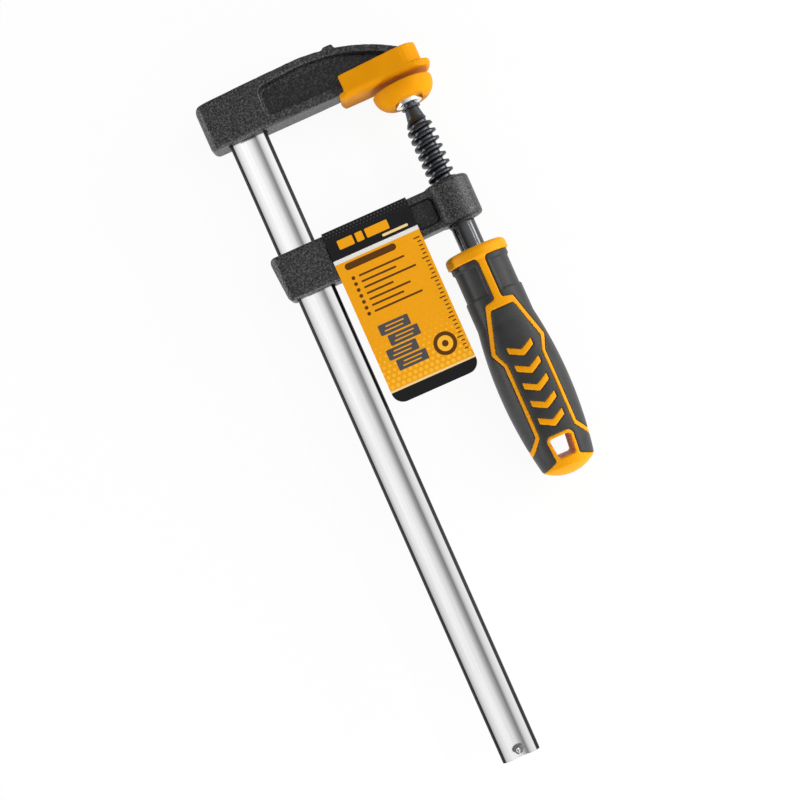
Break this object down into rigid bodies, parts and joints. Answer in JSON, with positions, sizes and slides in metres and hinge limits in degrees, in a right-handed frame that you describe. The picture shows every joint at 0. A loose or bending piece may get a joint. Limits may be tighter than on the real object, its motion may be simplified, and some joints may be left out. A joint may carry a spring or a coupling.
{
  "type": "f clamp",
  "caption": "Bar clamp with a fixed jaw, a sliding arm on a toothed flat rail, and a screw spindle with a swivelling foot and a two-colour handle.",
  "frame": {"origin": "on the spindle's axis, in the contact face of the fixed jaw's cap, at half the thickness", "axes": "+X from the rail to the spindle, +Y along the rail towards the fixed jaw, +Z out of the clamp's plane, up as it lies flat"},
  "size_m": [0.0831, 0.2551, 0.0254],
  "materials": {
    "rail_chrome": "bright plated flat bar",
    "pin_steel": "rolled spring steel",
    "casting": "black textured powder coat",
    "dark_steel": "blackened steel",
    "cap_plastic": "satin orange plastic",
    "foot_steel": "bright zinc plate",
    "core_plastic": "satin orange plastic",
    "grip_rubber": "fine-grained soft grip",
    "card": "printed and varnished card"
  },
  "bodies": {
    "frame": {"rail": "rail_chrome", "stop_pin": "pin_steel", "fixed_jaw": "casting", "jaw_rivet": "dark_steel", "jaw_cap": "cap_plastic"},
    "slider": {"sliding_arm": "casting", "hang_tag": "card"},
    "carrier": {"retaining_ring": "dark_steel"},
    "screw": {"spindle": "dark_steel", "handle_core": "core_plastic", "grip_panel": "grip_rubber", "grip_left": "grip_rubber", "grip_right": "grip_rubber"},
    "foot": {"swivel_foot": "foot_steel", "foot_cap": "cap_plastic"}
  },
  "joints": [
    {"name": "arm_slide", "type": "slide", "parent": "frame", "child": "slider", "axis": [0, 1, 0], "range_m": [-0.1738, 0]},
    {"name": "spindle_feed", "type": "slide", "parent": "slider", "child": "carrier", "axis": [0, 1, 0], "range_m": [-0.02401, 0]},
    {"name": "spindle_turn", "type": "hinge", "parent": "carrier", "child": "screw", "pos_m": [0, -0.065, 0], "axis": [0, 1, 0], "range_deg": [-2880, 0]},
    {"name": "foot_tilt", "type": "hinge", "parent": "carrier", "child": "foot", "pos_m": [0, -0.0063, 0], "axis": [0, 0, 1], "range_deg": [-10, 10]}
  ],
  "couplings": [
    {"joint": "spindle_feed", "follows": "spindle_turn", "m_per_rad": 0.00047746}
  ]
}
